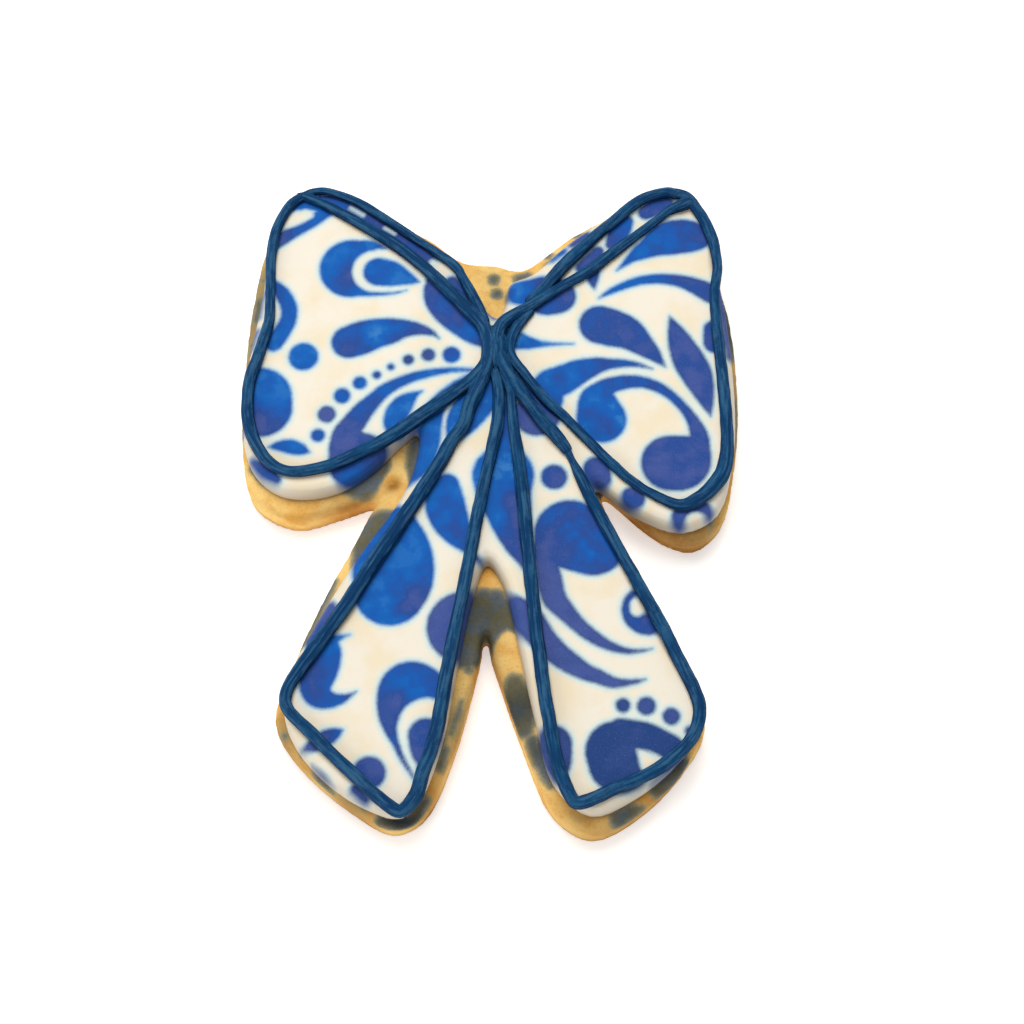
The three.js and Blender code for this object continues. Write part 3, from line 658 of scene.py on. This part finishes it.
class Socket:
    """One output of a material's nodes, in sums with other outputs and with numbers."""

    def __init__(self, finish, output):
        self.finish = finish
        self.output = output

    def math(self, operation, first, second):
        return self.finish.node("Math", {"operation": operation}, {0: first, 1: second})

    def __add__(self, other):
        return self.math("ADD", self, other)

    __radd__ = __add__

    def __sub__(self, other):
        return self.math("SUBTRACT", self, other)

    def __rsub__(self, other):
        return self.math("SUBTRACT", other, self)

    def __mul__(self, other):
        return self.math("MULTIPLY", self, other)

    __rmul__ = __mul__

    def __truediv__(self, other):
        return self.math("DIVIDE", self, other)

    def __rtruediv__(self, other):
        return self.math("DIVIDE", other, self)


class Finish:
    """A material under construction."""

    def __init__(self, name):
        self.material = bpy.data.materials.new(name)
        self.material.use_nodes = True
        self.tree = self.material.node_tree
        self.tree.nodes.clear()
        place = self.node("TexCoord", out="Object")
        self.place = self.node("VectorMath", {"operation": "SCALE"}, {"Vector": place, "Scale": 1 / MM})

    def node(self, kind, settings=None, sockets=None, out=0):
        """Adds a node: its settings first, then the values or links of its sockets."""
        made = self.tree.nodes.new("ShaderNode" + kind)
        for key, value in (settings or {}).items():
            if key == "stops":
                self.set_stops(made.color_ramp, value)
            else:
                setattr(made, key, value)
        for key, value in (sockets or {}).items():
            if isinstance(value, Socket):
                self.tree.links.new(value.output, made.inputs[key])
            else:
                made.inputs[key].default_value = value
        return Socket(self, made.outputs[out])

    @staticmethod
    def set_stops(ramp, stops):
        while len(ramp.elements) < len(stops):
            ramp.elements.new(0.5)
        for element, (position, colour) in zip(ramp.elements, stops):
            element.position = position
            element.color = linear(colour)

    def stored(self, name):
        return self.node("Attribute", {"attribute_name": name}, out="Fac")

    def cloud(self, size, detail=3, roughness=0.55, shift=0):
        """Noise between 0 and 1 with features of the given size."""
        moved = (shift, shift * 1.7, shift * 0.6)
        place = self.node("VectorMath", {"operation": "ADD"}, {0: self.place, 1: moved})
        return self.node("TexNoise", {}, {
            "Vector": place, "Scale": 1 / size, "Detail": detail, "Roughness": roughness})

    def rise(self, value, low, high):
        """0 below low, 1 above high and smooth between; the other way round where low is above high."""
        if low > high:
            return 1 - self.rise(value, high, low)
        return self.node("MapRange", {"interpolation_type": "SMOOTHSTEP"},
                         {"Value": value, "From Min": low, "From Max": high})

    def mix(self, share, first, second):
        """A colour between two, each a colour or another output."""
        first, second = (c if isinstance(c, Socket) else linear(c) for c in (first, second))
        return self.node("Mix", {"data_type": "RGBA"}, {0: share, 6: first, 7: second}, out=2)

    def ramp(self, value, stops):
        return self.node("ValToRGB", {"stops": stops}, {0: value})

    def bump(self, height, depth):
        """The normal over a relief whose height runs from 0 to 1 over the given depth."""
        return self.node("Bump", {}, {"Strength": 1.0, "Distance": depth * MM, "Height": height})

    def done(self, varying, constant):
        """Closes the material: what varies over the surface, then what is the same all over."""
        shader = self.node("BsdfPrincipled", {}, {**varying, **constant}, out="BSDF")
        output = self.tree.nodes.new("ShaderNodeOutputMaterial")
        self.tree.links.new(shader.output, output.inputs["Surface"])
        return self.material


def white_icing(finish, wall, halo):
    """Cream white, warmer in clouds and flecks, with painted shade down the wall, pale blue beside the
    stencil.
    """
    clouds = finish.rise(finish.cloud(CREAM_CLOUDS, 4, shift=9), 0.38, 0.7)
    flecks = finish.rise(finish.cloud(CREAM_FLECKS, 3, shift=3), 0.5, 0.75)
    cream = finish.mix(clouds, CREAM, WARM_CREAM)
    cream = finish.mix(flecks * 0.4, cream, WARM_CREAM)
    # Painted shade: the side wall greys as if it lay out of the light
    cream = finish.mix(wall * 0.85, cream, WALL_PAINTED_SHADE)
    return finish.mix(halo * 0.68, cream, HALO)


def sprayed_blue(finish, edge, tone, wall):
    """Blue whose tone drifts in pools, flecks and grain, with pale specks and a darker rim."""
    pools = finish.rise(finish.cloud(BLUE_POOLS, 3, 0.5, shift=21), 0.34, 0.68) - 0.5
    flecks = finish.rise(finish.cloud(BLUE_FLECKS, 2, shift=27), 0.3, 0.7) - 0.5
    grains = finish.cloud(BLUE_GRAIN, 2, shift=33) - 0.5
    plain = finish.rise(tone, 0.7, 0.85)
    light = finish.rise(tone, 0.24, 0.12)
    grainy = 0.1 + finish.rise(tone, 0.25, 0.5) * 0.12
    drifting = tone + pools * (0.22 - plain * 0.14) + flecks * light * 0.26 + grains * grainy
    specks = finish.rise(finish.cloud(BLUE_SPECKS, 1, shift=41), 0.62, 0.8) * finish.rise(tone, 0.2, 0.7)
    rim = finish.rise(edge, *BLUE_RIM) * finish.rise(tone, 0.3, 0.7)
    blue = finish.ramp(drifting, BLUES)
    blue = finish.mix(specks * 0.3, blue, PALE_SPECK)
    blue = finish.mix(rim * 0.6, blue, RIM_BLUE)
    return finish.mix(wall * finish.rise(tone, 1.0, 0.75) * 0.75, blue, WALL_BLUE)


def stencilled_icing():
    finish = Finish("stencilled_icing")
    edge = finish.stored("stencil_edge")
    tone = finish.stored("stencil_tone")
    wall = finish.stored("wall")
    drift = finish.cloud(EDGE_DRIFT, 4) - 0.5
    fray = finish.cloud(EDGE_FRAY, 2, shift=5) - 0.5
    ragged = edge + drift * 0.22 + fray * 0.2
    thinner = finish.rise(wall, 0.5, 1.0) * 0.5
    painted = finish.rise((ragged + thinner) / (1 + wall * 2.5), *SOFT_EDGE)
    halo = finish.rise(edge + drift * 0.5, *HALO_REACH) * (1 - wall)
    cream = white_icing(finish, wall, halo)
    colour = finish.mix(painted, cream, sprayed_blue(finish, edge, tone, wall))
    # Painted contact shadow: the lowest part of the icing's wall darkens where it meets the biscuit
    colour = finish.mix(finish.rise(wall, 0.88, 0.98) * 0.75, colour, ICING_FOOT_SHADOW)
    return finish.done(
        {"Base Color": colour,
         "Roughness": 0.45 + finish.cloud(ICING_SHEEN, 2, shift=8) * 0.16,
         "Normal": finish.bump(finish.cloud(ICING_TEXTURE, 3, shift=14), ICING_RELIEF)},
        {"IOR": 1.45, "Specular IOR Level": 0.08})


def baked_dough():
    finish = Finish("baked_dough")
    blotches = finish.cloud(DOUGH_BLOTCHES, 5, 0.6, shift=2)
    crumb = finish.cloud(DOUGH_CRUMB, 4, 0.65, shift=7)
    fine = finish.cloud(DOUGH_FINE, 2, shift=17)
    freckles = finish.rise(finish.cloud(DOUGH_FRECKLES, 2, shift=12), 0.68, 0.76)
    dough = finish.mix(finish.rise(blotches, 0.38, 0.68), GOLDEN, BAKED)
    # Darker dough from browning and from painted shade
    dough = finish.mix(finish.stored("browned") * (0.7 + blotches * 0.6), dough, BROWN)
    dough = finish.mix(finish.rise(crumb, 0.5, 0.75) * 0.5, dough, BAKED)
    dough = finish.mix(finish.rise(fine, 0.55, 0.75) * 0.3, dough, BROWN)
    dough = finish.mix(freckles * 0.6, dough, BROWN)
    dough = finish.mix(finish.stored("misted") * (0.6 + crumb * 0.8), dough, KHAKI)
    fray = finish.cloud(SPRAY_FRAY, 5, 0.6, shift=31) - 0.5
    ragged = finish.stored("spray_edge") + fray * 0.8 + (fine - 0.5) * 0.6
    sprayed = finish.rise(ragged, *SOFT_OVERSPRAY)
    shades = finish.rise(finish.cloud(SPRAY_SHADES, 4, shift=37), 0.4, 0.62)
    spray = finish.mix(shades, OLIVE_SLATE, SLATE)
    dough = finish.mix(finish.rise(sprayed, 0.0, 0.5) * 0.85, dough, TEAL_MIST)
    dough = finish.mix(finish.rise(sprayed, 0.2, 1.0) * (0.7 + crumb * 0.35), dough, spray)
    dough = finish.mix(sprayed * finish.stored("dense"), dough, DARK_SLATE)
    return finish.done(
        {"Base Color": dough,
         "Roughness": 0.72 + crumb * 0.2,
         "Normal": finish.bump(crumb * 0.6 + fine * 0.4, DOUGH_RELIEF)},
        {"IOR": 1.4, "Specular IOR Level": 0.08})


def piped_icing():
    finish = Finish("piped_icing")
    ridge = finish.stored("ridge")
    upward = finish.stored("upward")
    drift = finish.cloud(LINE_DRIFT, 3, shift=4)
    fine = finish.cloud(LINE_FINE, 4, 0.7, shift=6)
    dust = finish.cloud(LINE_DUST, 2, shift=16)
    # Painted highlight on the ridges' crests, mixed with pale dust and fine tone
    dust_and_crest_highlight = finish.rise(ridge + fine * 1.2 + dust * 0.4, 0.5, 1.4)
    # The tone drifts at random; the ridge term adds painted shade in the grooves and painted light on the
    # crests
    colour = finish.mix(finish.rise(drift + ridge * 0.35, 0.3, 0.72), DEEP_TEAL, TEAL_BLUE)
    colour = finish.mix(dust_and_crest_highlight * 0.72, colour, PALE_TEAL)
    # Painted shade: the lines darken where their surface turns sideways and down
    colour = finish.mix(finish.rise(upward, 0.7, 0.1) * 0.8, colour, SHADED_FLANK_TEAL)
    return finish.done(
        {"Base Color": colour,
         "Roughness": 0.55 + fine * 0.25,
         "Normal": finish.bump(fine * 0.7 + dust * 0.3, LINE_RELIEF)},
        {"IOR": 1.45, "Specular IOR Level": 0.14})


def icing():
    mesh = fine_copy("icing_layer", "icing", ICING_GRAIN, ICING_SMOOTHING)
    foot = BISCUIT_TOP + ICING_GRAIN
    close_plainly(mesh, lambda centres, ways: (ways[:, 2] < UNDERSIDE) & (centres[:, 2] < foot))
    points = points_of(mesh)
    upper = np.clip((points[:, 2] - BISCUIT_TOP) / (ICING_TOP - BISCUIT_TOP), 0, 1)
    points[:, 2] += upper * swell(points, ICING_SWELL)
    points[points[:, 2] < foot, 2] = BISCUIT_TOP - ICING_SINK
    set_points(mesh, points)
    edge, tone = stencil(points[:, :2])
    store(mesh, "stencil_edge", edge)
    store(mesh, "stencil_tone", tone)
    store(mesh, "wall", (1 - upper) ** WALL_CURVE)
    show("icing_layer", mesh, stencilled_icing(), "icing")


def roughen(mesh):
    """Gives the biscuit its uneven edge, crumb and pores over a flat base."""
    points = points_of(mesh)
    points[:, 1] += patches(points[:, :2], [(*GAP_END, GAP_REACH, GAP_DEEPENED)])
    ways = normals_of(mesh)
    side = np.clip(1 - np.abs(ways[:, 2]), 0, 1)
    lift = side * swell(points, EDGE_UNEVENNESS) + swell(points, CRUMB) + swell(points, FINE_CRUMB)
    depth, length, seed = PORE
    lift -= depth * np.clip((waves(points, length, seed) - PORE_START) / PORE_SLOPE, 0, 1)
    base = (points[:, 2] < BASE_HEIGHT) & (ways[:, 2] < FACES_DOWN)
    lift[base] = np.minimum(lift[base], 0)
    level = np.abs(ways[:, 2]) > LIES_LEVEL
    lift *= np.maximum(np.clip(points[:, 2] / FOOT_EVEN, FOOT_CRUMB, 1), level)
    points += ways * lift[:, None]
    points[:, 2] = np.maximum(points[:, 2], 0)
    set_points(mesh, points)


def mark_spray_browning_and_shade(mesh):
    """Keeps where the spray fell past the icing, thick or as mist, and the dough's browning with painted
    shade.
    """
    points = points_of(mesh)
    places, height = points[:, :2], points[:, 2]
    edge, _ = stencil(places)
    for patch in BISCUIT_SPRAY.values():
        edge = np.minimum(edge, stroke_distance(places, with_tone(0, 0, patch))[0])
    edge = np.maximum(edge + patches(places, SPRAY_MISSED), SPRAY_DEEPEST)
    edge += SPRAY_FADE * np.clip(SPRAY_FULL - height, 0, None)
    fading = np.clip((height - MIST_LOWEST) / (SPRAY_FULL - MIST_LOWEST), 0, 1)
    foot = np.clip(1 - height / FOOT_BROWN_HEIGHT, 0, 1) ** FOOT_BROWN_CURVE
    store(mesh, "spray_edge", edge)
    store(mesh, "misted", fading * np.clip(patches(places, MISTED), 0, MOST_MIST))
    store(mesh, "dense", np.clip(patches(places, SPRAY_DENSE), 0, MOST_DENSE))
    # Browning at the bottom edge, and patches of browning and of painted shade
    store(mesh, "browned", np.clip(FOOT_BROWNING * foot + patches(places, BROWNING_AND_SHADE), 0, MOST_BROWNING_AND_SHADE))


def biscuit():
    mesh = fine_copy("biscuit_base", "biscuit", BISCUIT_GRAIN, BISCUIT_SMOOTHING)
    roughen(mesh)
    mark_spray_browning_and_shade(mesh)
    show("biscuit_base", mesh, baked_dough(), "biscuit")


def laid_line(points, rise):
    """The steps along a piped line, its width and its middle there, and the ways across and up."""
    path = smooth_path(points, LINE_STEP / 2)
    run = np.concatenate([[0], np.cumsum(np.linalg.norm(np.diff(path[:, :2], axis=0), axis=1))])
    steps = np.linspace(0, run[-1], int(run[-1] / LINE_STEP))
    x, y, width = (np.interp(steps, run, path[:, column]) for column in range(3))
    to_knot = ((x - KNOT[0]) ** 2 + (y - KNOT[1]) ** 2) / KNOT_REACH**2
    z = ICING_TOP + width / 2 * (1 - LINE_SINK) + KNOT_RISE * rise * np.exp(-to_knot)
    middle = np.stack([x, y, z], 1)
    forward = np.gradient(middle, axis=0)
    forward /= np.linalg.norm(forward, axis=1)[:, None]
    across = np.cross(forward, (0, 0, 1))
    across /= np.linalg.norm(across, axis=1)[:, None]
    return steps, width, middle, across, np.cross(across, forward)


def ridges_and_grooves(name, seed, steps, along, width, turn):
    """The relief round a line as shares of its radius, one row for each step. Its foot stays plain."""
    relief = np.zeros((len(steps), len(turn)))
    for height, ridge_width, ridge_length in RIDGES:
        places = [(angle * width[i] / 2 / ridge_width, step / ridge_length, seed * RIDGES_APART)
                  for i, step in enumerate(steps) for angle in turn]
        relief += height * waves(places, 1.0, seed + RIDGE_SEED).reshape(relief.shape)
    depth, half_width = GROOVE
    for grooved, start, end, angle in GROOVES:
        if grooved == name:
            deep = np.clip(np.minimum(steps - start, end - steps) / GROOVE_FADE, 0, 1)[:, None]
            middle = (angle + swell(along, GROOVE_WANDER, seed))[:, None]
            relief -= depth * deep * np.exp(-((turn[None] - middle) / half_width) ** 2)
    relief[:, TOP_SIDES:] = 0
    return relief


def closed_tube(rings):
    """A mesh over rings of points, with a face across each end."""
    count, sides = rings.shape[:2]
    first = np.arange(count - 1)[:, None] * sides
    here = np.arange(sides)[None]
    following = (here + 1) % sides
    quads = np.stack([first + here, first + following, first + sides + following, first + sides + here], 2)
    faces = [tuple(quad) for quad in quads.reshape(-1, 4).tolist()]
    faces.append(tuple(range(sides))[::-1])
    faces.append(tuple((count - 1) * sides + side for side in range(sides)))
    mesh = bpy.data.meshes.new("line")
    mesh.from_pydata((rings.reshape(-1, 3) * MM).tolist(), [], faces)
    work = bmesh.new()
    work.from_mesh(mesh)
    bmesh.ops.recalc_face_normals(work, faces=work.faces[:])
    work.to_mesh(mesh)
    work.free()
    return mesh


def piped_line(name, seed):
    """One piped line, drawn in round at both ends, with its relief kept for the finish."""
    rise, points = PIPED_LINES[name]
    steps, width, middle, across, upward = laid_line(points, rise)
    along = [(step, seed * LINE_APART, OFF_GRID) for step in steps]
    radius = width / 2 * (1 + swell(along, LINE_SWELL, seed) + swell(along, LINE_THROB, seed))
    closing = np.clip(np.minimum(steps, steps[-1] - steps) / radius, END_LEAST, 1)
    radius *= np.sqrt(1 - (1 - closing) ** 2)
    middle += across * swell(along, LINE_WANDER, seed)[:, None]
    top = np.linspace(-TOP_ARC / 2, TOP_ARC / 2, TOP_SIDES, endpoint=False)
    foot = np.linspace(TOP_ARC / 2, 2 * math.pi - TOP_ARC / 2, FOOT_SIDES, endpoint=False)
    turn = np.concatenate([top, foot])
    relief = ridges_and_grooves(name, seed, steps, along, width, turn)
    reach = radius[:, None] * (1 + relief)
    mesh = closed_tube(middle[:, None] + across[:, None] * (reach * np.sin(turn))[..., None]
                       + upward[:, None] * (reach * np.cos(turn))[..., None])
    store(mesh, "ridge", relief.ravel() * RIDGE_SHADE)
    return mesh


def piping():
    lines = [piped_line(name, seed) for seed, name in enumerate(PIPED_LINES, 1)]
    whole = lines[0]
    for line in lines[1:]:
        other = bpy.data.objects.new("line", line)
        bpy.context.scene.collection.objects.link(other)
        whole = applied("piped_lines", whole,
                        ("BOOLEAN", {"operation": "UNION", "solver": "MANIFOLD", "object": other}))
        bpy.data.objects.remove(other)
    # Which way the surface faces, for the painted shade of the lines' flanks
    store(whole, "upward", normals_of(whole)[:, 2])
    show("piped_lines", whole, piped_icing(), "piping")


def floor():
    finish = Finish("pale_floor")
    tint = finish.mix(finish.cloud(FLOOR_CLOUDS, 2), FLOOR_WHITE, FLOOR_SHADE)
    material = finish.done(
        {"Base Color": tint},
        {"Roughness": FLOOR_ROUGHNESS,
         "Emission Color": linear(FLOOR_WHITE),
         "Emission Strength": FLOOR_GLOW})
    work = bmesh.new()
    bmesh.ops.create_grid(work, x_segments=4, y_segments=4, size=FLOOR_REACH * MM)
    mesh = bpy.data.meshes.new("floor")
    work.to_mesh(mesh)
    work.free()
    mesh.materials.append(material)
    plane = bpy.data.objects.new("floor", mesh)
    plane.location.z = -FLOOR_DROP * MM
    bpy.context.scene.collection.objects.link(plane)


def aimed(name, data, place, target):
    """A lamp or camera at a place, looking at a target."""
    thing = bpy.data.objects.new(name, data)
    thing.location = place
    thing.rotation_euler = (target - place).to_track_quat("-Z", "Y").to_euler()
    bpy.context.scene.collection.objects.link(thing)
    return thing


def softbox(name, place, size, power):
    lamp = bpy.data.lights.new(name, "AREA")
    lamp.size = size * MM
    lamp.energy = power
    aimed(name, lamp, Vector(place) * MM, Vector(LIGHTS_AIM) * MM)


def studio():
    world = bpy.data.worlds.new("studio")
    world.use_nodes = True
    backdrop = world.node_tree.nodes["Background"]
    backdrop.inputs["Color"].default_value = (1, 1, 1, 1)
    backdrop.inputs["Strength"].default_value = BACKDROP_STRENGTH
    bpy.context.scene.world = world
    bpy.context.scene.view_settings.view_transform = "Standard"
    softbox("key", *KEY_LIGHT)
    softbox("fill", *FILL_LIGHT)


def camera():
    data = bpy.data.cameras.new("camera")
    data.lens = CAMERA_LENS
    data.sensor_width = CAMERA_SENSOR
    data.clip_start = CAMERA_NEAREST * MM
    target = Vector(CAMERA_TARGET) * MM
    away = Vector((0, -math.cos(CAMERA_RISE), math.sin(CAMERA_RISE))) * CAMERA_DISTANCE * MM
    bpy.context.scene.camera = aimed("camera", data, target + away, target)


camera()
studio()
floor()
biscuit()
icing()
piping()
